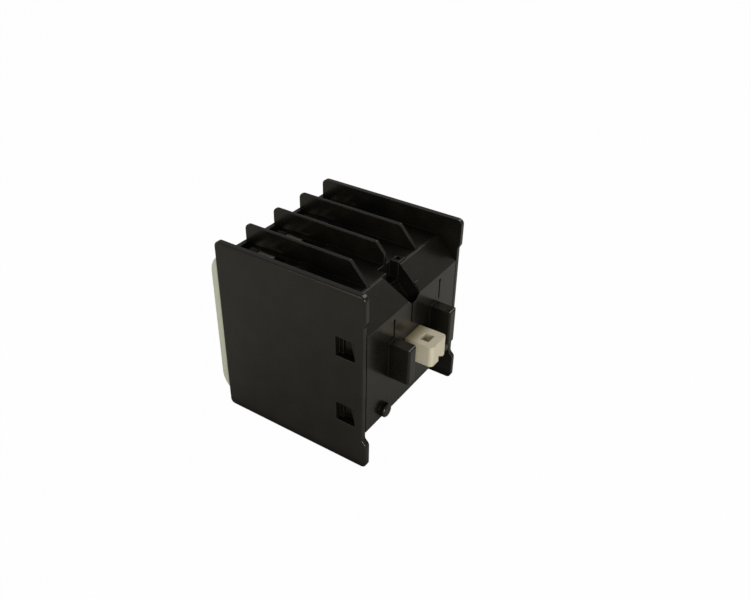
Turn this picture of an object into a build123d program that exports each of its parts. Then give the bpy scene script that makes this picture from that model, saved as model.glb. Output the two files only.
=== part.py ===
"""Front-mounted auxiliary contact block with two make and two break contacts.

+X is the width, +Y points out of the mounting side, +Z is up, as it hangs on a panel.
The origin is where the slider's axis crosses the mounting face. All lengths are in mm.
Sections are built for the upper half and repeated below by the sign of z.
"""

import os
from math import sqrt

from build123d import *

os.makedirs("parts", exist_ok=True)

# Outer form of the housing
block_width = 44.0
block_height = 49.0
plate_depth = 42.7
side_plate = 1.56
fin_wall = 0.95
pole_count = 4
body_height = 37.9
ear_reach = 0.6
ear_lower_reach = 1.2
ear_upper_start = 17.5
ear_lower_start = 17.2
ear_ramp = 1.1
plate_corner = 1.4
outer_edge_round = 0.45
fin_edge_round = 0.25
fin_chamfer_run = 5.0
fin_front_round = 1.6
front_rim_wall = 1.2
front_rim_reach = 1.05
groove_x = (-2.0, 3.3)
groove_front = -8.6
groove_wall = 1.0

# Rear base on the mounting side
upper_slope = 5.75
lower_slope = 4.35
slope_end = 0.35
base_wall = 1.8
base_side_wall = 1.4
base_side_gap = 0.35
base_lip_reach = 2.4
base_lip_wall = 1.0
lip_clearance = 0.1

# Latches between the rear base and the housing
latch_window = 5.3
latch_window_rear = -2.0
latch_heights = (9.05, -9.9)
latch_wedge_length = 1.35
latch_foot_length = 0.15
latch_tip_inset = 0.45
lip_rim_x = (-5.1, -2.0)
lip_rim_front = -8.6
lip_rim_rise = 0.35
lip_window_x = (-4.3, -3.1)
lip_window_y = (-8.1, -6.8)

# Hook tabs, peg, channel and slots on the mounting face
tab_inner_x = 8.05
tab_width = 3.0
tab_reach = 5.7
tab_top = 6.0
tab_bottom = -3.8
tab_round = 0.5
peg_radius = 1.8
peg_reach = 1.5
peg_x = 12.9
peg_above_edge = 2.2
channel_top_x = (-2.2, 5.4)
channel_edge_x = (-2.2, 2.9)
channel_foot_x = (-0.5, 1.3)
channel_depth = 4.0
channel_shell = 1.0
channel_foot_reach = 1.1
ramp_nub_x = (-3.8, -2.3)
ramp_nub_run = (0.6, 2.6)
ramp_nub_rise = 0.35
slot_width = 0.6
slot_eye_radius = 0.5
slot_depth = 0.9
slot_drops = ((8.9, 2.2), (1.0, 1.2), (-12.1, 1.8))
slot_bottom = 6.2

# Chambers of the housing
partition_wall = 1.81
chamber_half_height = 11.45
forward_half_height = 8.5
front_wall = 1.5
core_wall = 1.5
shelf_wall = 1.5
pocket_wall = 2.21
pocket_depth = 13.5
pocket_rear_wall = 1.5
pocket_floor = 10.0
bump_length = 4.6
bump_height = 0.65
bump_width = 2.5
bump_from_front = 16.6

# Terminals
strip_thickness = 1.0
strip_side_step = 0.2
strip_bend = 1.2
strip_clearance = 0.05
pad_side_gap = 0.3
pad_from_front = 9.1
pad_top = 18.2
screw_height = 14.5
screw_radius = 1.7
thread_clearance = 0.05
screw_head_radius = 3.0
screw_head_height = 2.2
screw_length = 5.4
screw_slot_width = 0.9
screw_slot_depth = 1.1
screw_slot_reach = 2.2
screw_edge_round = 0.5
screw_end_chamfer = 0.4
head_clearance = 0.05
saddle_open_gap = 2.6
saddle_thickness = 1.1
saddle_side_gap = 0.4
saddle_height = 8.8
saddle_flange = 0.8
saddle_flange_reach = 3.6
saddle_hole_clearance = 0.25

# Slider and its contacts
slider_travel = 4.0
slider_half_height = 3.0
slider_guide_clearance = 0.15
slider_front = -31.0
slider_step = -21.2
slider_rear = -7.0
slider_side_gap = 1.14
slider_rear_inset = 2.115
window_side_clearance = 0.2
nose_width = 4.4
nose_height = 2.4
nose_setback = 0.5
head_width = 7.0
head_top = 2.9
head_bottom = 2.7
head_reach = 7.5
head_clearance_side = 0.3
head_round = 1.1
head_pocket_x = (-1.3, 1.6)
head_pocket_y = (2.7, 5.2)
head_pocket_depth = 3.0
head_notch_profile = ((0.1, 0), (0.3, 1.6), (-1.9, 0.2))
head_notch_length = 4.3

contact_leg_y = -17.0
contact_leg_end = 4.6
contact_height = 6.8
bridge_width = 4.4
bridge_half_length = 8.4
bridge_thickness = 0.8
tip_radius = 1.6
tip_height = 0.6
rivet_radius = 0.9
contact_clearance = 0.05
contact_overtravel = 1.0
contact_spring_length = 6.0
contact_spring_radius = 1.6
contact_spring_wire = 0.35
contact_spring_turns = 6
return_spring_radius = 1.6
return_spring_wire = 0.4
return_spring_turns = 9
return_spring_depth = 9.9
spring_bore_clearance = 0.15
spring_end_clearance = 0.05
spring_post_radius = 1.0
spring_post_reach = 2.2

# Front cover
cover_thickness = 2.3
cover_side_inset = 0.4
cover_rim = 1.7
cover_end_run = 4.5
cover_end_land = 0.3
cover_edge_round = 0.5
access_radius = 3.5
cover_window_width = 5.4
cover_window_height = 3.2
label_side = 4.0
label_height = 13.0
label_depth = 0.4
label_corner = 0.9
hook_height = 6.0
hook_width = 4.0
hook_thickness = 1.2
hook_reach = 1.6
hook_barb = 0.6
hook_clearance = 0.2

# Places worked out from the sizes above
half_width = block_width / 2
half_height = block_height / 2
body_half_height = body_height / 2
plate_inner = half_width - side_plate
pitch = (block_width - side_plate) / pole_count
pole_x = [(index - (pole_count - 1) / 2) * pitch for index in range(pole_count)]
fin_x = [(index - pole_count / 2) * pitch for index in range(1, pole_count)]
outer_poles = (0, pole_count - 1)
face_upper_edge = body_half_height - upper_slope
face_lower_edge = body_half_height - lower_slope
peg_z = peg_above_edge - face_lower_edge
slot_places = [(x, face_upper_edge - drop) for x, drop in slot_drops]
chamber_width = pitch - partition_wall
pocket_width = pitch - pocket_wall
saddle_width = pocket_width - 2 * saddle_side_gap
pad_width = saddle_width - 2 * (saddle_flange + pad_side_gap)
strip_width = pad_width - 2 * strip_side_step
slider_front_half_width = plate_inner - slider_side_gap
slider_rear_half_width = pole_x[-1] - slider_rear_inset
return_spring_x = pitch
cover_half_height = screw_height + access_radius + cover_rim
plate_front = ear_reach - plate_depth
body_rear = -(upper_slope + slope_end)
pad_front = plate_front + pad_from_front
pad_rear = pad_front + strip_thickness
pocket_rear = plate_front + pocket_depth
chamber_front = plate_front + front_wall
core_front = pocket_rear + pocket_rear_wall
strip_run_height = chamber_half_height - strip_clearance - strip_thickness / 2
core_bottom = chamber_half_height + core_wall
core_top = body_half_height - shelf_wall
base_half_width = plate_inner - base_side_gap
base_cavity_half = base_half_width - base_side_wall
cover_front = plate_front - cover_thickness
saddle_rear = pad_front - saddle_open_gap
saddle_front = saddle_rear - saddle_thickness
head_rear = saddle_front - head_clearance
leg_front = contact_leg_y - strip_thickness / 2
leg_rear = contact_leg_y + strip_thickness / 2
make_tip_y = leg_front - tip_height
break_tip_y = leg_rear + tip_height
return_bore_end = slider_rear - return_spring_depth
both_halves = (1, -1)


def block(x, y, z, mode=Mode.ADD):
    """A box between two values on each axis."""
    centre = tuple(sum(pair) / 2 for pair in (x, y, z))
    size = tuple(abs(pair[1] - pair[0]) for pair in (x, y, z))
    with Locations(centre):
        return Box(*size, mode=mode)


def rod(x, z, y, radius, mode=Mode.ADD):
    """A cylinder along Y between two values of y, centred on x and z."""
    with Locations((x, sum(y) / 2, z)):
        return Cylinder(radius, abs(y[1] - y[0]), rotation=(90, 0, 0), mode=mode)


def blocks(centres, width, y, heights, mode=Mode.ADD):
    """Equal boxes at each place across the width, one for each pair of heights."""
    places = [(x, sum(y) / 2, sum(pair) / 2) for x in centres for pair in heights]
    with Locations(*places):
        return Box(width, abs(y[1] - y[0]), abs(heights[0][1] - heights[0][0]), mode=mode)


def around(centre, half):
    """The pair of values that lie half to each side of a centre."""
    return (centre - half, centre + half)


def half_span(side, low, high):
    """The pair of heights from low to high, above or below the middle."""
    return (side * low, side * high)


def both_spans(low, high):
    """The two pairs of heights from low to high, above and below the middle."""
    return (half_span(1, low, high), half_span(-1, low, high))


def write(piece, label):
    """Names a finished piece and writes its file."""
    piece.label = label
    export_step(piece, f"parts/{label}.step")


# Housing: side plates, body, partition fins, chambers and terminal pockets in one moulding
groove_floor = body_half_height - channel_depth
with BuildPart() as housing:
    # Partition fins above and below, with their rear corners cut away and their edges rounded
    with BuildSketch(*[Plane.YZ.offset(x - fin_wall / 2) for x in fin_x]):
        for side in both_halves:
            with BuildLine():
                Polyline(
                    (plate_front, side * core_top),
                    (body_rear, side * core_top),
                    (body_rear, side * body_half_height),
                    (body_rear - fin_chamfer_run, side * half_height),
                    (plate_front, side * half_height),
                    close=True,
                )
            make_face()
    extrude(amount=fin_wall)
    for level in (0, -1):
        front_corners = housing.edges().filter_by(Axis.X).group_by(Axis.Z)[level].group_by(Axis.Y)[0]
        fillet(front_corners, fin_front_round)
    for level in (0, -1):
        long_faces = housing.faces().filter_by(Axis.Z).group_by(Axis.Z)[level]
        fillet(long_faces.edges().filter_by(Axis.Y), fin_edge_round)

    # Body between the plates, with a raised rim behind each shelf
    blocks(
        (0,),
        2 * plate_inner,
        (plate_front, body_rear),
        ((-body_half_height, body_half_height),),
    )
    blocks(
        (sum(lip_rim_x) / 2,),
        lip_rim_x[1] - lip_rim_x[0],
        (lip_rim_front, body_rear),
        both_spans(core_top, body_half_height + lip_rim_rise),
    )

    # Low rounded bumps on the shelf beside each fin
    front_end = plate_front + bump_from_front
    with BuildSketch(*[Plane.YZ.offset(x - pitch / 2 + fin_wall / 2) for x in pole_x]):
        for side in both_halves:
            with BuildLine():
                Polyline(
                    (front_end, side * body_half_height),
                    (front_end, side * core_top),
                    (front_end + bump_length, side * core_top),
                    (front_end + bump_length, side * body_half_height),
                )
                ThreePointArc(
                    (front_end + bump_length, side * body_half_height),
                    (front_end + bump_length / 2, side * (body_half_height + bump_height)),
                    (front_end, side * body_half_height),
                )
            make_face()
    extrude(amount=bump_width)

    # Contact chambers, the cores over them and the terminal pockets
    blocks(
        pole_x,
        chamber_width,
        (core_front, body_rear),
        ((-chamber_half_height, chamber_half_height),),
        mode=Mode.SUBTRACT,
    )
    blocks(
        pole_x,
        chamber_width,
        (chamber_front, core_front),
        ((-forward_half_height, forward_half_height),),
        mode=Mode.SUBTRACT,
    )
    blocks(
        pole_x,
        chamber_width,
        (core_front, body_rear),
        both_spans(core_bottom, core_top),
        mode=Mode.SUBTRACT,
    )
    blocks(
        pole_x,
        pocket_width,
        (plate_front, pocket_rear),
        both_spans(pocket_floor, body_half_height),
        mode=Mode.SUBTRACT,
    )
    strip_gap = strip_thickness / 2 + strip_clearance
    blocks(
        pole_x,
        strip_width + 2 * strip_clearance,
        (pocket_rear, core_front),
        both_spans(strip_run_height - strip_gap, strip_run_height + strip_gap),
        mode=Mode.SUBTRACT,
    )

    # Rim across the front of the bays, above and below the driver holes
    blocks(
        (0,),
        2 * plate_inner,
        (plate_front, plate_front + front_rim_wall),
        both_spans(screw_height + access_radius, body_half_height + front_rim_reach),
    )

    # Way for the slider through the partitions, for its nose in front and its head behind
    guide_half = slider_half_height + slider_guide_clearance
    block(
        around(0, slider_front_half_width + slider_guide_clearance),
        (chamber_front, body_rear),
        (-guide_half, guide_half),
        mode=Mode.SUBTRACT,
    )
    block(
        around(0, nose_width / 2 + slider_guide_clearance),
        (plate_front, chamber_front),
        around(0, nose_height / 2 + slider_guide_clearance),
        mode=Mode.SUBTRACT,
    )
    block(
        around(0, head_width / 2 + head_clearance_side),
        (slider_rear - slider_travel, body_rear),
        (-head_bottom - head_clearance_side, head_top + head_clearance_side),
        mode=Mode.SUBTRACT,
    )

    # Groove in the upper shelf, in a thicker place of the wall, that runs on into the base
    block(
        (groove_x[0] - groove_wall, groove_x[1] + groove_wall),
        (groove_front - groove_wall, body_rear),
        (groove_floor - groove_wall, body_half_height),
    )
    block(groove_x, (groove_front, body_rear), (groove_floor, half_height), mode=Mode.SUBTRACT)

    # Small latch windows through the rims
    blocks(
        (sum(lip_window_x) / 2,),
        lip_window_x[1] - lip_window_x[0],
        lip_window_y,
        both_spans(core_top, body_half_height + lip_rim_rise),
        mode=Mode.SUBTRACT,
    )

    # Slots in the front wall for the cover's hooks
    blocks(
        [pole_x[pole] for pole in outer_poles],
        hook_width + 2 * hook_clearance,
        (plate_front, chamber_front),
        both_spans(
            hook_height - hook_thickness / 2 - hook_clearance,
            hook_height + hook_thickness / 2 + hook_barb + hook_clearance,
        ),
        mode=Mode.SUBTRACT,
    )

    # Side plates with rounded edges and square windows for the base's latches
    for plate_x, direction in ((-plate_inner, -1), (plate_inner, 1)):
        with BuildPart(mode=Mode.PRIVATE) as plate:
            with BuildSketch(Plane.YZ.offset(plate_x)) as plate_sketch:
                with BuildLine():
                    Polyline(
                        (plate_front, -half_height),
                        (ear_lower_reach, -half_height),
                        (ear_lower_reach, -ear_lower_start),
                        (0, ear_ramp - ear_lower_start),
                        (0, ear_upper_start - ear_ramp),
                        (ear_reach, ear_upper_start),
                        (ear_reach, half_height),
                        (plate_front, half_height),
                        close=True,
                    )
                make_face()
                corners = plate_sketch.vertices()
                fillet(corners.group_by(Axis.Z)[0] + corners.group_by(Axis.Z)[-1], plate_corner)
            extrude(amount=direction * side_plate)
            fillet(plate.faces().sort_by(Axis.X)[-1 if direction > 0 else 0].edges(), outer_edge_round)
            blocks(
                (plate_x,),
                4 * side_plate,
                (latch_window_rear - latch_window, latch_window_rear),
                [around(z, latch_window / 2) for z in latch_heights],
                mode=Mode.SUBTRACT,
            )
        add(plate.part)
write(housing.part, "housing")


# Rear base: a shallow lid with sloped edges that snaps between the side plates
with BuildPart() as rear_base:
    with BuildSketch(Plane.YZ.offset(-base_half_width)):
        with BuildLine():
            Polyline(
                (body_rear, -body_half_height),
                (-lower_slope, -body_half_height),
                (0, -face_lower_edge),
                (0, face_upper_edge),
                (-upper_slope, body_half_height),
                (body_rear, body_half_height),
                close=True,
            )
        make_face()
    extrude(amount=2 * base_half_width)
    with BuildSketch(Plane.YZ.offset(-base_cavity_half)):
        with BuildLine():
            Polyline(
                (2 * body_rear, -body_half_height),
                (-lower_slope, -body_half_height),
                (0, -face_lower_edge),
                (0, face_upper_edge),
                (-upper_slope, body_half_height),
                (2 * body_rear, body_half_height),
                close=True,
            )
        make_face()
        offset(amount=-base_wall, kind=Kind.INTERSECTION, mode=Mode.REPLACE)
    extrude(amount=2 * base_cavity_half, mode=Mode.SUBTRACT)

    # Lips that reach under the housing's shelves, with a nub for each shelf window
    lip_top = core_top - lip_clearance
    blocks(
        pole_x,
        chamber_width - 2 * lip_clearance,
        (body_rear - base_lip_reach, body_rear + base_wall),
        both_spans(lip_top - base_lip_wall, lip_top),
    )
    blocks(
        (sum(lip_window_x) / 2,),
        lip_window_x[1] - lip_window_x[0] - 2 * lip_clearance,
        (lip_window_y[0] + lip_clearance, lip_window_y[1] - lip_clearance),
        both_spans(lip_top - base_lip_wall, body_half_height - lip_clearance),
    )
    block(
        (groove_x[0] - groove_wall - lip_clearance, groove_x[1] + groove_wall + lip_clearance),
        (body_rear - base_lip_reach, body_rear),
        (groove_floor - groove_wall - lip_clearance, lip_top),
        mode=Mode.SUBTRACT,
    )

    # Wedge latches that stand in the side plates' windows
    for z in latch_heights:
        upper = z + latch_window / 2 - lip_clearance
        lower = z - latch_window / 2 + lip_clearance
        rear = latch_window_rear - lip_clearance
        for x_start in (-half_width + latch_tip_inset, base_half_width):
            with BuildSketch(Plane.YZ.offset(x_start)):
                with BuildLine():
                    Polyline(
                        (rear, lower),
                        (rear, upper),
                        (rear - latch_wedge_length, upper),
                        (rear - latch_foot_length, lower),
                        close=True,
                    )
                make_face()
            extrude(amount=half_width - latch_tip_inset - base_half_width)

    # Channel down the upper slope to the middle slot, in a thicker place of the wall
    shell_foot = channel_foot_reach + channel_shell
    shell_floor = channel_depth + channel_shell
    with BuildSketch(Plane.YZ.offset(channel_top_x[0] - channel_shell)):
        with BuildLine():
            Polyline(
                (0, face_upper_edge - sqrt(2) * shell_foot),
                (0, face_upper_edge),
                (-upper_slope, body_half_height),
                (body_rear, body_half_height),
                (body_rear, face_upper_edge - body_rear - sqrt(2) * shell_floor),
                (
                    (shell_foot - shell_floor) / sqrt(2),
                    face_upper_edge - (shell_foot + shell_floor) / sqrt(2),
                ),
                close=True,
            )
        make_face()
    extrude(amount=channel_top_x[1] - channel_top_x[0] + 2 * channel_shell)
    slope_face = Plane(origin=(0, 0, face_upper_edge), x_dir=(1, 0, 0), z_dir=(0, 1, 1))
    channel_top = -sqrt(2) * upper_slope
    with BuildSketch(slope_face):
        with BuildLine():
            Polyline(
                (channel_foot_x[0], channel_foot_reach),
                (channel_foot_x[1], channel_foot_reach),
                (channel_edge_x[1], 0),
                (channel_top_x[1], channel_top),
                (channel_top_x[1], channel_top - channel_depth),
                (channel_top_x[0], channel_top - channel_depth),
                (channel_edge_x[0], 0),
                close=True,
            )
        make_face()
    extrude(amount=-channel_depth, mode=Mode.SUBTRACT)

    # Low nub on the slope beside the channel's foot
    with BuildSketch(slope_face.offset(-ramp_nub_rise)):
        with Locations((sum(ramp_nub_x) / 2, -sum(ramp_nub_run) / 2)):
            Rectangle(ramp_nub_x[1] - ramp_nub_x[0], ramp_nub_run[1] - ramp_nub_run[0])
    extrude(amount=2 * ramp_nub_rise)

    # Thin slots with a round eye at the top
    for x, top in slot_places:
        block(
            around(x, slot_width / 2),
            (-slot_depth, 0),
            (slot_bottom, top),
            mode=Mode.SUBTRACT,
        )
        rod(x, top, (-slot_depth, 0), slot_eye_radius, mode=Mode.SUBTRACT)

    # Window for the slider's head
    block(
        around(0, head_width / 2 + head_clearance_side),
        (-base_wall, 0),
        (-head_bottom - head_clearance_side, head_top + head_clearance_side),
        mode=Mode.SUBTRACT,
    )

    # Posts inside for the return springs
    for x in (-return_spring_x, return_spring_x):
        rod(x, 0, (-base_wall - spring_post_reach, -base_wall), spring_post_radius)

    # Hook tabs and the peg
    for x_start in (tab_inner_x, -tab_inner_x - tab_width):
        block((x_start, x_start + tab_width), (-base_wall / 2, tab_reach), (tab_bottom, tab_top))
    fillet(rear_base.edges().group_by(Axis.Y)[-1], tab_round)
    rod(peg_x, peg_z, (-base_wall / 2, peg_reach), peg_radius)
    peg_end = rear_base.faces().filter_by(Axis.Y).sort_by_distance((peg_x, peg_reach, peg_z))[0]
    fillet(peg_end.edges(), tab_round)
write(rear_base.part, "rear_base")


# Front cover: plate with curved ends, screwdriver holes, a label recess, a window and four hooks
cover_half_width = half_width - cover_side_inset
with BuildPart() as front_cover:
    end_start = cover_half_height - cover_end_run
    land = plate_front - cover_end_land
    with BuildSketch(Plane.YZ.offset(-cover_half_width)):
        with BuildLine():
            Line((cover_front, -end_start), (cover_front, end_start))
            TangentArc((cover_front, end_start), (land, cover_half_height), tangent=(0, 1))
            Polyline(
                (land, cover_half_height),
                (plate_front, cover_half_height),
                (plate_front, -cover_half_height),
                (land, -cover_half_height),
            )
            TangentArc((cover_front, -end_start), (land, -cover_half_height), tangent=(0, -1))
        make_face()
    extrude(amount=2 * cover_half_width)
    fillet(front_cover.edges().filter_by(Axis.Z).group_by(Axis.Y)[0], cover_edge_round)
    with BuildSketch(Plane.XZ.offset(-cover_front)):
        RectangleRounded(block_width - 2 * label_side, label_height, label_corner)
    extrude(amount=-label_depth, mode=Mode.SUBTRACT)
    block(
        around(0, cover_window_width / 2),
        (cover_front, plate_front),
        around(0, cover_window_height / 2),
        mode=Mode.SUBTRACT,
    )
    for x in pole_x:
        for side in both_halves:
            rod(x, side * screw_height, (cover_front, plate_front), access_radius, mode=Mode.SUBTRACT)
    for pole in outer_poles:
        for side in both_halves:
            inner = hook_height - hook_thickness / 2
            outer = hook_height + hook_thickness / 2
            barb_front = chamber_front + hook_clearance
            across = around(pole_x[pole], hook_width / 2)
            block(across, (plate_front, barb_front + hook_reach), half_span(side, inner, outer))
            block(
                across,
                (barb_front, barb_front + hook_reach),
                half_span(side, outer, outer + hook_barb),
            )
write(front_cover.part, "front_cover")


# Slider: carrier with a window for each bridge, bores for the return springs and the head
make_bridge_rear = make_tip_y - contact_clearance - slider_travel - tip_height
make_bridge_front = make_bridge_rear - bridge_thickness
break_bridge_front = break_tip_y + contact_clearance + tip_height
break_bridge_rear = break_bridge_front + bridge_thickness
with BuildPart() as slider:
    heights = (-slider_half_height, slider_half_height)
    block(around(0, slider_front_half_width), (slider_front, slider_step), heights)
    block(around(0, slider_rear_half_width), (slider_step, slider_rear), heights)
    for pole, x in enumerate(pole_x):
        if pole in outer_poles:
            window = (make_bridge_front - contact_spring_length, make_bridge_rear)
        else:
            window = (
                break_bridge_front - contact_overtravel,
                break_bridge_rear + contact_spring_length,
            )
        block(
            around(x, bridge_width / 2 + window_side_clearance),
            window,
            heights,
            mode=Mode.SUBTRACT,
        )
    for x in (-return_spring_x, return_spring_x):
        bore_radius = return_spring_radius + return_spring_wire / 2 + spring_bore_clearance
        rod(x, 0, (return_bore_end, slider_rear), bore_radius, mode=Mode.SUBTRACT)

    # Nose that shows in the cover's window
    block(
        around(0, nose_width / 2),
        (cover_front + nose_setback, slider_front),
        around(0, nose_height / 2),
    )

    # Head that the contactor's carrier grips
    block(around(0, head_width / 2), (slider_rear, head_reach), (-head_bottom, head_top))
    fillet(slider.edges().filter_by(Axis.Z).group_by(Axis.Y)[-1], head_round)
    block(
        head_pocket_x,
        head_pocket_y,
        (head_top - head_pocket_depth, head_top),
        mode=Mode.SUBTRACT,
    )
    with BuildSketch(Plane.XZ.offset(-head_reach)):
        with BuildLine():
            Polyline(
                *[(x, rise - head_bottom) for x, rise in head_notch_profile],
                (-head_width / 2, head_notch_profile[-1][1] - head_bottom),
                (-head_width / 2, -head_bottom),
                close=True,
            )
        make_face()
    extrude(amount=head_notch_length, mode=Mode.SUBTRACT)
write(slider.part, "slider")


def coil_spring(x, start, length, radius, wire, turns):
    """A compression spring along Y that fills the length from start."""
    coiled = length - 2 * wire
    with BuildPart() as coil:
        with BuildLine() as wire_path:
            Helix(coiled / turns, coiled, radius, center=(x, start + wire, 0), direction=(0, 1, 0))
        with BuildSketch(Plane(origin=wire_path.line @ 0, z_dir=wire_path.line % 0)):
            Circle(wire / 2)
        sweep(is_frenet=True)
    return coil.part


# Moving bridges, each with two rivet holes, and the spring behind each of them
for pole, x in enumerate(pole_x):
    if pole in outer_poles:
        bar = (make_bridge_front, make_bridge_rear)
        spring_start = make_bridge_front - contact_spring_length + spring_end_clearance
    else:
        bar = (break_bridge_front, break_bridge_rear)
        spring_start = break_bridge_rear + spring_end_clearance
    with BuildPart() as bridge:
        block(around(x, bridge_width / 2), bar, around(0, bridge_half_length))
        for side in both_halves:
            rod(x, side * contact_height, bar, rivet_radius, mode=Mode.SUBTRACT)
        fillet(bridge.edges().filter_by(Axis.Y).group_by(Axis.Z)[0], bridge_thickness)
        fillet(bridge.edges().filter_by(Axis.Y).group_by(Axis.Z)[-1], bridge_thickness)
    write(bridge.part, f"bridge_{pole + 1}")

    spring = coil_spring(
        x,
        spring_start,
        contact_spring_length - 2 * spring_end_clearance,
        contact_spring_radius,
        contact_spring_wire,
        contact_spring_turns,
    )
    write(spring, f"contact_spring_{pole + 1}")


# Silver tips riveted through the bridges
with BuildPart() as moving_tips:
    for pole, x in enumerate(pole_x):
        for side in both_halves:
            z = side * contact_height
            if pole in outer_poles:
                rod(x, z, (make_bridge_front, make_bridge_rear), rivet_radius)
                rod(x, z, (make_bridge_rear, make_bridge_rear + tip_height), tip_radius)
            else:
                rod(x, z, (break_bridge_front, break_bridge_rear), rivet_radius)
                rod(x, z, (break_bridge_front - tip_height, break_bridge_front), tip_radius)
write(moving_tips.part, "moving_tips")


# Silver tips riveted through the legs of the terminal strips
with BuildPart() as fixed_tips:
    for pole, x in enumerate(pole_x):
        for side in both_halves:
            z = side * contact_height
            rod(x, z, (leg_front, leg_rear), rivet_radius)
            if pole in outer_poles:
                rod(x, z, (make_tip_y, leg_front), tip_radius)
            else:
                rod(x, z, (leg_rear, break_tip_y), tip_radius)
write(fixed_tips.part, "fixed_tips")


# Return springs in the slider's bores, over the posts of the rear base
for name, x in (("left", -return_spring_x), ("right", return_spring_x)):
    spring = coil_spring(
        x,
        return_bore_end + spring_end_clearance,
        -base_wall - return_bore_end - 2 * spring_end_clearance,
        return_spring_radius,
        return_spring_wire,
        return_spring_turns,
    )
    write(spring, f"return_spring_{name}")


# Terminals: strip, screw and saddle clamp for each pole, above and below
for row, side in (("top", 1), ("bottom", -1)):
    for pole, x in enumerate(pole_x):
        screw_z = side * screw_height
        with BuildPart() as strip:
            pad_middle = (pad_front + pad_rear) / 2
            with BuildSketch(Plane.YZ.offset(x - strip_width / 2)):
                with BuildLine() as strip_line:
                    FilletPolyline(
                        (pad_middle, side * pad_top),
                        (pad_middle, side * strip_run_height),
                        (contact_leg_y, side * strip_run_height),
                        (contact_leg_y, side * contact_leg_end),
                        radius=strip_bend,
                    )
                trace(line_width=strip_thickness)
            extrude(amount=strip_width)
            block(
                around(x, pad_width / 2),
                (pad_front, pad_rear),
                half_span(side, strip_run_height + strip_bend, pad_top),
            )
            rod(x, screw_z, (pad_front, pad_rear), screw_radius + thread_clearance, mode=Mode.SUBTRACT)
            rod(x, side * contact_height, (leg_front, leg_rear), rivet_radius, mode=Mode.SUBTRACT)
        write(strip.part, f"terminal_strip_{row}_{pole + 1}")

        with BuildPart() as screw:
            head_front = head_rear - screw_head_height
            rod(x, screw_z, (head_front, head_rear), screw_head_radius)
            fillet(screw.edges().group_by(Axis.Y)[0], screw_edge_round)
            rod(x, screw_z, (head_rear, head_rear + screw_length), screw_radius)
            end_edge = screw.edges().sort_by(Axis.Y)[-1]
            chamfer(end_edge, screw_end_chamfer)
            slot_ends = (screw_slot_reach, screw_slot_width / 2)
            for across, up in (slot_ends, slot_ends[::-1]):
                block(
                    around(x, across),
                    (head_front, head_front + screw_slot_depth),
                    around(screw_z, up),
                    mode=Mode.SUBTRACT,
                )
        write(screw.part, f"terminal_screw_{row}_{pole + 1}")

        with BuildPart() as saddle:
            heights = around(screw_z, saddle_height / 2)
            block(around(x, saddle_width / 2), (saddle_front, saddle_rear), heights)
            for hand in both_halves:
                flange = (x + hand * (saddle_width / 2 - saddle_flange), x + hand * saddle_width / 2)
                block(flange, (saddle_rear, saddle_rear + saddle_flange_reach), heights)
            hole_radius = screw_radius + saddle_hole_clearance
            rod(x, screw_z, (saddle_front, saddle_rear), hole_radius, mode=Mode.SUBTRACT)
        write(saddle.part, f"saddle_{row}_{pole + 1}")
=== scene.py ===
import math

import bpy
import numpy as np
from mathutils import Matrix, Vector


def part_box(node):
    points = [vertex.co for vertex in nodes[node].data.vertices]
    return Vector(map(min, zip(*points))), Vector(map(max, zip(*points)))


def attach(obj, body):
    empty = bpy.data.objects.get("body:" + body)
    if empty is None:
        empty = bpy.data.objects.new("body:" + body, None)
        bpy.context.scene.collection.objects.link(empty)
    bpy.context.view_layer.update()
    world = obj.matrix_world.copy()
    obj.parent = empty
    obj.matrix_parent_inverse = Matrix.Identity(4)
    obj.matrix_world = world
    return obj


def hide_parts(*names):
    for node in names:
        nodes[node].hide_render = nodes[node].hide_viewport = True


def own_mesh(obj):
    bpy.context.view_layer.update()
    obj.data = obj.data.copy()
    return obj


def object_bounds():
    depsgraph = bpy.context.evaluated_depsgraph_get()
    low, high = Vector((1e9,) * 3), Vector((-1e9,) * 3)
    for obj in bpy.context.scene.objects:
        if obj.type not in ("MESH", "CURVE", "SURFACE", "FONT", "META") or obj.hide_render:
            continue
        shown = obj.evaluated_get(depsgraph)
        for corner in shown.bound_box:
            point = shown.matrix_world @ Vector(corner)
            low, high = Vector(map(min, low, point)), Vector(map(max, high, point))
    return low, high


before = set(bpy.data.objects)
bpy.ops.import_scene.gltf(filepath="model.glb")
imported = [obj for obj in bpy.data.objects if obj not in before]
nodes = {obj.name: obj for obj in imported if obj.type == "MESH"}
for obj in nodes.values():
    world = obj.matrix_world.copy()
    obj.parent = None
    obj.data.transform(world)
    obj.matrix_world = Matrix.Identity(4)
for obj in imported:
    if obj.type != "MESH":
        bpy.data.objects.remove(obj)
cad_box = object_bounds()


# Housing and rear base: the body with its partition fins, and the lid that snaps into its
# rear. Both are injection moulded from black polyamide; the tool's walls leave a smooth,
# half-gloss skin in which the white table shows. The edges are painted lighter, partly as
# rubbing from handling and partly as painted highlight.

def linear(code):
    """An sRGB hex colour as linear RGBA, each channel by the standard's curve."""
    channels = [int(code[i:i + 2], 16) / 255 for i in (1, 3, 5)]
    return [c / 12.92 if c <= 0.04045 else ((c + 0.055) / 1.055) ** 2.4 for c in channels] + [1.0]


def add(tree, kind, inputs=(), **settings):
    """Adds a node: its settings, and each input given as a value or as another node's output."""
    node = tree.nodes.new(kind)
    for name, value in settings.items():
        setattr(node, name, value)
    for name, value in dict(inputs).items():
        if isinstance(value, bpy.types.NodeSocket):
            tree.links.new(value, node.inputs[name])
        else:
            node.inputs[name].default_value = value
    return node


def empty_tree(owner):
    """The node tree of a material or a world, without the nodes that it starts with."""
    owner.use_nodes = True
    owner.node_tree.nodes.clear()
    return owner.node_tree


def dress(material, *starts):
    """Gives the material to each CAD node whose name starts with one of these words."""
    for name, node in nodes.items():
        if name.startswith(starts):
            node.data.materials.clear()
            node.data.materials.append(material)


polyamide = bpy.data.materials.new("black_moulded_polyamide")
tree = empty_tree(polyamide)
place = add(tree, "ShaderNodeTexCoord").outputs["Object"]
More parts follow.
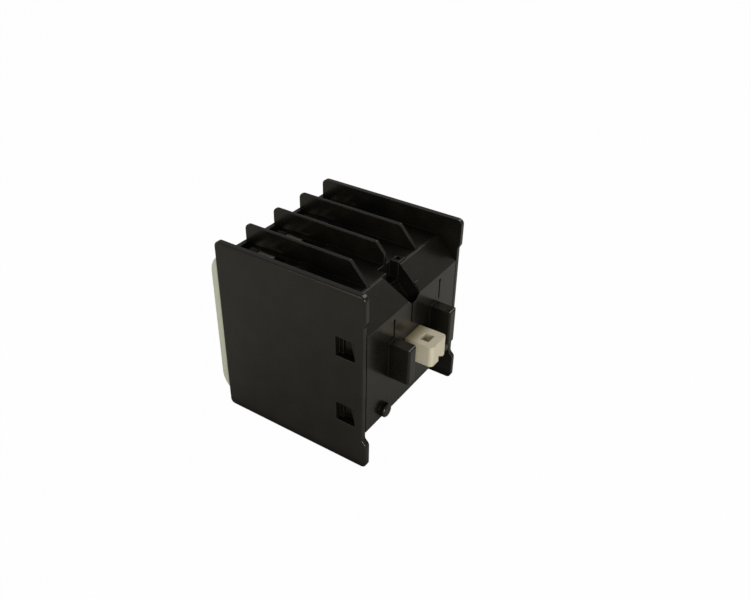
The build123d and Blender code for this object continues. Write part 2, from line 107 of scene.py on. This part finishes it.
# Flow marks of the melt, about 6 mm wide, shift the colour between two near blacks
flow = add(
    tree, "ShaderNodeTexNoise",
    {"Vector": place, "Scale": 170.0, "Detail": 3.0, "Roughness": 0.55},
)
tone = add(
    tree, "ShaderNodeMapRange",
    {"Value": flow.outputs["Fac"], "From Min": 0.35, "From Max": 0.68},
)
body_colour = add(
    tree, "ShaderNodeMix",
    {0: tone.outputs["Result"], 6: linear("#0f0f0c"), 7: linear("#171612")}, data_type="RGBA",
)
# Rubbed edges and painted highlight: the colour is lightened where the rounded normal
# leaves the true one, within 0.2 mm of an edge
rounded = add(tree, "ShaderNodeBevel", {"Radius": 0.0002}, samples=8)
true_normal = add(tree, "ShaderNodeNewGeometry")
agreement = add(
    tree, "ShaderNodeVectorMath",
    {0: rounded.outputs["Normal"], 1: true_normal.outputs["Normal"]}, operation="DOT_PRODUCT",
)
edge_wear_and_highlight = add(
    tree, "ShaderNodeMapRange",
    {"Value": agreement.outputs["Value"], "From Min": 0.99, "From Max": 0.8, "To Max": 0.35},
)
rubbed_and_highlit_colour = add(
    tree, "ShaderNodeMix",
    {0: edge_wear_and_highlight.outputs["Result"], 6: body_colour.outputs[2], 7: linear("#4a4840")},
    data_type="RGBA",
)
# Spark-eroded grain; the real one is 0.05 mm, drawn at about 0.3 mm so that it shows
grain = add(
    tree, "ShaderNodeTexNoise",
    {"Vector": place, "Scale": 3400.0, "Detail": 2.0, "Roughness": 0.6},
)
sheen = add(
    tree, "ShaderNodeMapRange",
    {
        "Value": grain.outputs["Fac"], "From Min": 0.3, "From Max": 0.7,
        "To Min": 0.2, "To Max": 0.28,
    },
)
relief = add(
    tree, "ShaderNodeBump",
    {
        "Height": grain.outputs["Fac"], "Normal": rounded.outputs["Normal"],
        "Strength": 0.2, "Distance": 0.00002,
    },
)
# Painted shade in recesses: occlusion within 4 mm lowers the reflection, so recesses shine less
recess_occlusion = add(tree, "ShaderNodeAmbientOcclusion", {"Distance": 0.004}, samples=8)
painted_recess_shade = add(
    tree, "ShaderNodeMapRange",
    {
        "Value": recess_occlusion.outputs["AO"], "From Min": 0.55, "From Max": 0.9,
        "To Min": 0.08, "To Max": 0.5,
    },
)
shader = add(
    tree, "ShaderNodeBsdfPrincipled",
    {
        "Base Color": rubbed_and_highlit_colour.outputs[2], "Roughness": sheen.outputs["Result"],
        "Normal": relief.outputs["Normal"], "IOR": 1.48,
        "Specular IOR Level": painted_recess_shade.outputs["Result"], "Specular Tint": linear("#fff8ec"),
    },
)
add(tree, "ShaderNodeOutputMaterial", {"Surface": shader.outputs["BSDF"]})
dress(polyamide, "housing", "rear_base")


# Front cover: a thin plate clipped over the terminals, moulded from a light grey blend of
# polycarbonate, with a finer grain than the housing's. The blend lets a little light in.

blend_grey = bpy.data.materials.new("light_grey_polycarbonate_blend")
tree = empty_tree(blend_grey)
place = add(tree, "ShaderNodeTexCoord").outputs["Object"]
# Pigment streaks about 11 mm wide, hardly to be seen
cloud = add(tree, "ShaderNodeTexNoise", {"Vector": place, "Scale": 90.0, "Detail": 2.0})
cover_colour = add(
    tree, "ShaderNodeMix",
    {0: cloud.outputs["Fac"], 6: linear("#c2c4b0"), 7: linear("#cdcfbe")}, data_type="RGBA",
)
rounded = add(tree, "ShaderNodeBevel", {"Radius": 0.00018}, samples=6)
# Grain of the tool, drawn at 0.24 mm
grain = add(tree, "ShaderNodeTexNoise", {"Vector": place, "Scale": 4200.0, "Detail": 2.0})
relief = add(
    tree, "ShaderNodeBump",
    {
        "Height": grain.outputs["Fac"], "Normal": rounded.outputs["Normal"],
        "Strength": 0.25, "Distance": 0.00003,
    },
)
shader = add(
    tree, "ShaderNodeBsdfPrincipled",
    {
        "Base Color": cover_colour.outputs[2], "Roughness": 0.5,
        "Normal": relief.outputs["Normal"], "IOR": 1.57,
        "Subsurface Weight": 0.08, "Subsurface Scale": 0.0006,
    },
)
add(tree, "ShaderNodeOutputMaterial", {"Surface": shader.outputs["BSDF"]})
dress(blend_grey, "front_cover")


# Slider: the carrier of the moving contacts, moulded from cream polyacetal. Its slippery
# surface is smoother than the housing's, and thin walls let some light through.

polyacetal = bpy.data.materials.new("cream_polyacetal")
tree = empty_tree(polyacetal)
place = add(tree, "ShaderNodeTexCoord").outputs["Object"]
height = add(tree, "ShaderNodeSeparateXYZ", {"Vector": place})
# Painted shade: the head's root darkens to olive over its first 4 mm
root_shade = add(
    tree, "ShaderNodeMapRange",
    {"Value": height.outputs["Y"], "From Min": 0.0, "From Max": 0.0042},
    interpolation_type="SMOOTHSTEP",
)
# Marks of handling, about 2.4 mm wide
cloud = add(tree, "ShaderNodeTexNoise", {"Vector": place, "Scale": 420.0, "Detail": 3.0})
fresh = add(
    tree, "ShaderNodeMix",
    {0: cloud.outputs["Fac"], 6: linear("#d6d0b6"), 7: linear("#e2dcc6")}, data_type="RGBA",
)
slider_colour = add(
    tree, "ShaderNodeMix",
    {0: root_shade.outputs["Result"], 6: linear("#827d5b"), 7: fresh.outputs[2]}, data_type="RGBA",
)
rounded = add(tree, "ShaderNodeBevel", {"Radius": 0.0003}, samples=6)
relief = add(
    tree, "ShaderNodeBump",
    {
        "Height": cloud.outputs["Fac"], "Normal": rounded.outputs["Normal"],
        "Strength": 0.2, "Distance": 0.0001,
    },
)
shader = add(
    tree, "ShaderNodeBsdfPrincipled",
    {
        "Base Color": slider_colour.outputs[2], "Roughness": 0.36,
        "Normal": relief.outputs["Normal"], "IOR": 1.48,
        "Subsurface Weight": 0.25, "Subsurface Scale": 0.0012,
    },
)
add(tree, "ShaderNodeOutputMaterial", {"Surface": shader.outputs["BSDF"]})
dress(polyacetal, "slider")


# Terminal strips and bridges: stamped from half-hard brass strip, rolled to a satin
# finish with fine lines along the strip and a little tarnish.

brass = bpy.data.materials.new("rolled_brass_strip")
tree = empty_tree(brass)
place = add(tree, "ShaderNodeTexCoord").outputs["Object"]
# Rolling lines, drawn 0.2 mm apart along X and stretched to 3 mm along Y and Z
lines = add(tree, "ShaderNodeMapping", {"Vector": place, "Scale": (1.0, 0.06, 0.06)})
rolled = add(
    tree, "ShaderNodeTexNoise",
    {"Vector": lines.outputs["Vector"], "Scale": 5000.0, "Detail": 2.0},
)
# Tarnish in clouds about 1.7 mm wide
tarnish = add(tree, "ShaderNodeTexNoise", {"Vector": place, "Scale": 600.0, "Detail": 4.0})
brass_colour = add(
    tree, "ShaderNodeMix",
    {0: tarnish.outputs["Fac"], 6: linear("#b39352"), 7: linear("#d3b476")}, data_type="RGBA",
)
dullness = add(
    tree, "ShaderNodeMapRange",
    {
        "Value": rolled.outputs["Fac"], "From Min": 0.3, "From Max": 0.7,
        "To Min": 0.24, "To Max": 0.4,
    },
)
rounded = add(tree, "ShaderNodeBevel", {"Radius": 0.0001}, samples=4)
relief = add(
    tree, "ShaderNodeBump",
    {
        "Height": rolled.outputs["Fac"], "Normal": rounded.outputs["Normal"],
        "Strength": 0.2, "Distance": 0.00001,
    },
)
shader = add(
    tree, "ShaderNodeBsdfPrincipled",
    {
        "Base Color": brass_colour.outputs[2], "Metallic": 1.0,
        "Roughness": dullness.outputs["Result"], "Normal": relief.outputs["Normal"],
    },
)
add(tree, "ShaderNodeOutputMaterial", {"Surface": shader.outputs["BSDF"]})
dress(brass, "terminal_strip", "bridge")


# Contact tips: rivets of a silver alloy, headed cold into the bridges and the strips,
# which leaves them a soft grey lustre.

silver = bpy.data.materials.new("silver_alloy_rivet")
tree = empty_tree(silver)
place = add(tree, "ShaderNodeTexCoord").outputs["Object"]
# Mottling about 0.4 mm wide
lustre = add(tree, "ShaderNodeTexNoise", {"Vector": place, "Scale": 2400.0, "Detail": 3.0})
silver_colour = add(
    tree, "ShaderNodeMix",
    {0: lustre.outputs["Fac"], 6: linear("#c4c1ba"), 7: linear("#e4e2dc")}, data_type="RGBA",
)
shader = add(
    tree, "ShaderNodeBsdfPrincipled",
    {"Base Color": silver_colour.outputs[2], "Metallic": 1.0, "Roughness": 0.32},
)
add(tree, "ShaderNodeOutputMaterial", {"Surface": shader.outputs["BSDF"]})
dress(silver, "moving_tips", "fixed_tips")


# Contact springs: small coils of drawn music wire behind the bridges, coiled cold, so that
# the wire keeps the bright, faintly lined skin that the drawing die gave it.

wire = bpy.data.materials.new("drawn_spring_wire")
tree = empty_tree(wire)
place = add(tree, "ShaderNodeTexCoord").outputs["Object"]
# Drawing marks, drawn at about 0.3 mm
drawn = add(tree, "ShaderNodeTexNoise", {"Vector": place, "Scale": 3000.0, "Detail": 2.0})
wire_colour = add(
    tree, "ShaderNodeMix",
    {0: drawn.outputs["Fac"], 6: linear("#84847f"), 7: linear("#a9a9a4")}, data_type="RGBA",
)
shader = add(
    tree, "ShaderNodeBsdfPrincipled",
    {"Base Color": wire_colour.outputs[2], "Metallic": 1.0, "Roughness": 0.28},
)
add(tree, "ShaderNodeOutputMaterial", {"Surface": shader.outputs["BSDF"]})
dress(wire, "contact_spring", "return_spring")


# Saddle clamps: stamped from steel strip and zinc plated, which leaves a bright grey skin
# with a faint yellow and blue cast.

zinc = bpy.data.materials.new("bright_zinc_plate")
tree = empty_tree(zinc)
place = add(tree, "ShaderNodeTexCoord").outputs["Object"]
# The cast changes over about 2 mm, and the plating's crystals are drawn 0.4 mm wide
cast = add(tree, "ShaderNodeTexNoise", {"Vector": place, "Scale": 500.0, "Detail": 3.0})
zinc_colour = add(
    tree, "ShaderNodeMix",
    {0: cast.outputs["Fac"], 6: linear("#b7b9bd"), 7: linear("#cfcbb9")}, data_type="RGBA",
)
spangle = add(tree, "ShaderNodeTexVoronoi", {"Vector": place, "Scale": 2600.0})
dullness = add(
    tree, "ShaderNodeMapRange",
    {"Value": spangle.outputs["Distance"], "From Max": 0.8, "To Min": 0.34, "To Max": 0.48},
)
rounded = add(tree, "ShaderNodeBevel", {"Radius": 0.00015}, samples=4)
shader = add(
    tree, "ShaderNodeBsdfPrincipled",
    {
        "Base Color": zinc_colour.outputs[2], "Metallic": 1.0,
        "Roughness": dullness.outputs["Result"], "Normal": rounded.outputs["Normal"],
    },
)
add(tree, "ShaderNodeOutputMaterial", {"Surface": shader.outputs["BSDF"]})
dress(zinc, "saddle")


# Terminal screws: M3.5 machine screws of zinc plated steel, with a cheese head, a cross
# recess for the driver and a rolled thread of 0.6 mm pitch that ends in a chamfer.

head_radius, head_height, head_round, rim_share = 0.003, 0.0022, 0.0005, 0.6
shank_radius, shank_length, end_chamfer = 0.0017, 0.0054, 0.0004
recess_half_width, recess_reach = 0.00045, 0.0022
recess_depth, recess_wall = 0.0011, 0.00012
thread_pitch, thread_depth, point_chamfer = 0.0006, 0.00028, 0.0001
face_points, rim_points, pitch_points, turn_points = 30, 6, 10, 96
screw_sharp = math.radians(35)


def smooth_step(value, low, high):
    """0 below low, 1 above high, and a cubic ease between them."""
    t = np.clip((value - low) / (high - low), 0, 1)
    return t * t * (3 - 2 * t)


def closed_mesh(name, rings):
    """A mesh from a grid of rings, each closed on itself, whose first and last are points."""
    rows, columns = rings.shape[:2]
    points = np.concatenate([rings[0, :1], rings[1:-1].reshape(-1, 3), rings[-1, :1]])
    index = 1 + np.arange((rows - 2) * columns).reshape(rows - 2, columns)
    following = np.roll(index, -1, axis=1)
    sides = np.stack([index[:-1], index[1:], following[1:], following[:-1]], -1).reshape(-1, 4)
    start = np.stack([np.zeros(columns, int), index[0], following[0]], -1)
    end = np.stack([index[-1], np.full(columns, len(points) - 1), following[-1]], -1)
    mesh = bpy.data.meshes.new(name)
    mesh.from_pydata(points.tolist(), [], start.tolist() + sides.tolist() + end.tolist())
    mesh.validate()
    return mesh


def metal_piece(name, mesh, material, sharp):
    """An object at the origin with the mesh, smooth but for edges sharper than the angle."""
    piece = bpy.data.objects.new(name, mesh)
    bpy.context.scene.collection.objects.link(piece)
    mesh.polygons.foreach_set("use_smooth", [True] * len(mesh.polygons))
    mesh.set_sharp_from_angle(angle=sharp)
    mesh.materials.append(material)
    return piece


# The profile runs from the middle of the head's face over its rim and down the shank
face_r = np.linspace(0, head_radius - head_round, face_points)
rim = np.linspace(0, np.pi / 2, rim_points)[1:]
thread_end = head_height + shank_length - end_chamfer
thread_y = np.arange(head_height, thread_end, thread_pitch / pitch_points)
profile_r = np.concatenate([
    face_r,
    head_radius - head_round + head_round * np.sin(rim),
    [head_radius, head_radius, shank_radius],
    np.full(len(thread_y), shank_radius),
    [shank_radius - thread_depth - point_chamfer, 0],
])
profile_y = np.concatenate([
    np.zeros(len(face_r)),
    head_round * (1 - np.cos(rim)),
    [head_height * rim_share, head_height, head_height],
    thread_y,
    [head_height + shank_length, head_height + shank_length],
])
angle = np.linspace(0, 2 * np.pi, turn_points, endpoint=False)
radius, turn = np.meshgrid(profile_r, angle, indexing="ij")
depth = np.repeat(profile_y[:, None], turn_points, axis=1)
# Cross recess: deep within half its width of either axis, as far as its reach
across = np.minimum(np.abs(radius * np.cos(turn)), np.abs(radius * np.sin(turn)))
wall = 1 - smooth_step(across, recess_half_width - recess_wall, recess_half_width)
wall *= 1 - smooth_step(radius, recess_reach - recess_wall, recess_reach)
depth += np.where(depth == 0, recess_depth * wall, 0)
# Thread: a triangle wave of the turn and the place along the shank, eased in at the head
threaded = np.isin(profile_y, thread_y[1:])[:, None]
eased = smooth_step(depth, head_height, head_height + thread_pitch)
phase = (turn / (2 * np.pi) + depth / thread_pitch) % 1
radius -= threaded * eased * thread_depth * np.abs(2 * phase - 1)
screw_rings = np.stack([radius * np.cos(turn), depth, radius * np.sin(turn)], -1)
for row in ("top", "bottom"):
    for pole in (1, 2, 3, 4):
        name = f"terminal_screw_{row}_{pole}"
        low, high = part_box(name)
        seat = np.array([(low.x + high.x) / 2, low.y, (low.z + high.z) / 2])
        mesh = closed_mesh(name, screw_rings + seat)
        screw = metal_piece(f"threaded_screw_{row}_{pole}", mesh, zinc, screw_sharp)
        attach(screw, f"clamp_{row}_{pole}")
        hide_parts(name)


# Return springs: two coils of drawn music wire between the slider and the posts of the
# lid, each with its end turns closed. They stand on the lid and are drawn at their rest
# length; the slider's stroke is 4 mm.

coil_wire, coil_turns, coil_end_play, slider_stroke = 0.0004, 9, 0.0002, 0.004
coil_steps, wire_points = 24 * coil_turns + 1, 10
coil_sharp = math.radians(60)
turns = np.linspace(0, coil_turns, coil_steps)
turn = 2 * np.pi * turns
outward = np.stack([np.cos(turn), np.zeros(coil_steps), np.sin(turn)], -1)
around = np.linspace(0, 2 * np.pi, wire_points, endpoint=False)[None, :, None]
for side in ("left", "right"):
    name = f"return_spring_{side}"
    low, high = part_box(name)
    middle_x, middle_z = (low.x + high.x) / 2, (low.z + high.z) / 2
    coil_radius = (high.x - low.x - coil_wire) / 2
    coil_rise = high.y - low.y - coil_wire
    # Helix about the spring's axis; the first and last turns rise by one wire each
    rise = np.interp(
        turns,
        [0, 1, coil_turns - 1, coil_turns],
        [0, coil_wire, coil_rise - coil_wire, coil_rise],
    )
    line = np.array([middle_x, low.y + coil_wire / 2, middle_z])
    line = line + coil_radius * outward + rise[:, None] * np.array([0, 1, 0])
    along = np.gradient(line, axis=0)
    along /= np.linalg.norm(along, axis=1, keepdims=True)
    beside = np.cross(outward, along)
    # Wire: a circle about the helix, across its direction, closed to a point at both ends
    wire_rings = line[:, None] + coil_wire / 2 * (
        np.cos(around) * outward[:, None] + np.sin(around) * beside[:, None]
    )
    ends = np.repeat(line[[0, -1], None], wire_points, axis=1)
    mesh = closed_mesh(name, np.concatenate([ends[:1], wire_rings, ends[1:]]))
    coil = metal_piece(f"return_coil_{side}", mesh, wire, coil_sharp)
    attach(coil, "housing")
    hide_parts(name)
    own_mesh(coil)


# Floor: a white table top that the block stands on. The camera sees it as white paper with
# a weak shadow; the half-gloss housing mirrors it darker where the block shades it.

table_half = 4
floor_z = cad_box[0].z
floor_mesh = bpy.data.meshes.new("table_top")
floor_mesh.from_pydata(
    [
        (-table_half, -table_half, floor_z), (table_half, -table_half, floor_z),
        (table_half, table_half, floor_z), (-table_half, table_half, floor_z),
    ],
    [], [(0, 1, 2, 3)],
)
floor = bpy.data.objects.new("table_top", floor_mesh)
bpy.context.scene.collection.objects.link(floor)
paper = bpy.data.materials.new("white_paper")
tree = empty_tree(paper)
# Painted shade: the table darkens within 120 mm of the block, seen most in the housing's gloss
shade = add(
    tree, "ShaderNodeAmbientOcclusion",
    {"Color": linear("#c8c8c2"), "Distance": 0.12}, samples=8,
)
diffuse = add(tree, "ShaderNodeBsdfDiffuse", {"Color": shade.outputs["Color"]})
white = add(tree, "ShaderNodeEmission", {"Color": (1, 1, 1, 1), "Strength": 1.0})
ray = add(tree, "ShaderNodeLightPath")
seen_white, mirrored_white = 0.985, 0.06
seen = add(
    tree, "ShaderNodeMath",
    {0: ray.outputs["Is Camera Ray"], 1: seen_white}, operation="MULTIPLY",
)
mirrored = add(
    tree, "ShaderNodeMath",
    {0: ray.outputs["Is Glossy Ray"], 1: mirrored_white}, operation="MULTIPLY",
)
share = add(tree, "ShaderNodeMath", {0: seen.outputs[0], 1: mirrored.outputs[0]}, operation="ADD")
surface = add(
    tree, "ShaderNodeMixShader",
    {0: share.outputs[0], 1: diffuse.outputs[0], 2: white.outputs[0]},
)
add(tree, "ShaderNodeOutputMaterial", {"Surface": surface.outputs[0]})
floor_mesh.materials.append(paper)


# Studio: a white surround that lights at a low level, and four disc lamps. The key lamp
# stands above the far side, and the side lamp faces the near plate and the cover's edge.

world = bpy.data.worlds.new("white_surround")
bpy.context.scene.world = world
tree = empty_tree(world)
surround_level, mirrored_surround = 0.2, 0.1
ray = add(tree, "ShaderNodeLightPath")
clear = add(
    tree, "ShaderNodeMath",
    {0: ray.outputs["Is Camera Ray"], 1: ray.outputs["Is Transmission Ray"]},
    operation="MAXIMUM",
)
mirrored = add(
    tree, "ShaderNodeMath",
    {0: ray.outputs["Is Glossy Ray"], 1: mirrored_surround}, operation="MULTIPLY",
)
share = add(
    tree, "ShaderNodeMath",
    {0: clear.outputs[0], 1: mirrored.outputs[0]}, operation="MAXIMUM",
)
low_light = add(
    tree, "ShaderNodeBackground", {"Color": (1, 1, 1, 1), "Strength": surround_level},
)
white_light = add(tree, "ShaderNodeBackground", {"Color": (1, 1, 1, 1), "Strength": 1.0})
mixed = add(
    tree, "ShaderNodeMixShader",
    {0: share.outputs[0], 1: low_light.outputs[0], 2: white_light.outputs[0]},
)
add(tree, "ShaderNodeOutputWorld", {"Surface": mixed.outputs[0]})

# Each lamp: direction from the block, distance and disc in metres, watts and colour. The
# front lamp lights the table that the near plate mirrors, and the rear lamp the slider's head
lamp_aim = Vector((0, -0.02, 0))
for name, direction, distance, size, power, colour in (
    ("key_lamp", (-0.75, 0.25, 1.0), 0.34, 0.25, 0.42, (1.0, 0.94, 0.9)),
    ("side_lamp", (1.0, -0.3, 0.2), 0.6, 0.3, 0.6, (1.0, 1.0, 0.94)),
    ("front_lamp", (0.4, -1.0, 0.5), 0.23, 0.12, 0.06, (0.97, 1.0, 0.88)),
    ("rear_lamp", (0.6, 0.85, 0.22), 0.6, 0.3, 1.9, (1.0, 0.97, 0.92)),
):
    toward = Vector(direction).normalized()
    lamp = bpy.data.lights.new(name, "AREA")
    lamp.shape = "DISK"
    lamp.size = size
    lamp.energy = power
    lamp.color = colour
    holder = bpy.data.objects.new(name, lamp)
    bpy.context.scene.collection.objects.link(holder)
    holder.location = lamp_aim + toward * distance
    holder.rotation_mode = "QUATERNION"
    holder.rotation_quaternion = toward.to_track_quat("Z", "Y")


# Camera: at the photograph's place, above the near rear corner, and rolled by just over a
# degree. The small shifts to the left and up line its picture up with the photograph's.

azimuth, elevation, roll = math.radians(122.759), math.radians(33.296), math.radians(1.256)
back = Vector((
    math.sin(azimuth) * math.cos(elevation),
    -math.cos(azimuth) * math.cos(elevation),
    math.sin(elevation),
))
level = Vector((0, 0, 1)).cross(back).normalized()
upright = back.cross(level)
right = math.cos(roll) * level + math.sin(roll) * upright
above = math.cos(roll) * upright - math.sin(roll) * level
left_shift, up_shift = 0.0002, 0.00018
station = Vector((0.133155, 0.07471, 0.111731)) - right * left_shift + above * up_shift
camera = bpy.data.objects.new("camera", bpy.data.cameras.new("camera"))
bpy.context.scene.collection.objects.link(camera)
camera.data.sensor_width = 36.0
camera.data.lens = 36.99
camera.data.clip_start = 0.005
camera.data.clip_end = 20.0
facing = Matrix((right, above, back)).transposed().to_4x4()
camera.matrix_world = Matrix.Translation(station) @ facing
bpy.context.scene.camera = camera
bpy.context.scene.view_settings.view_transform = "Standard"
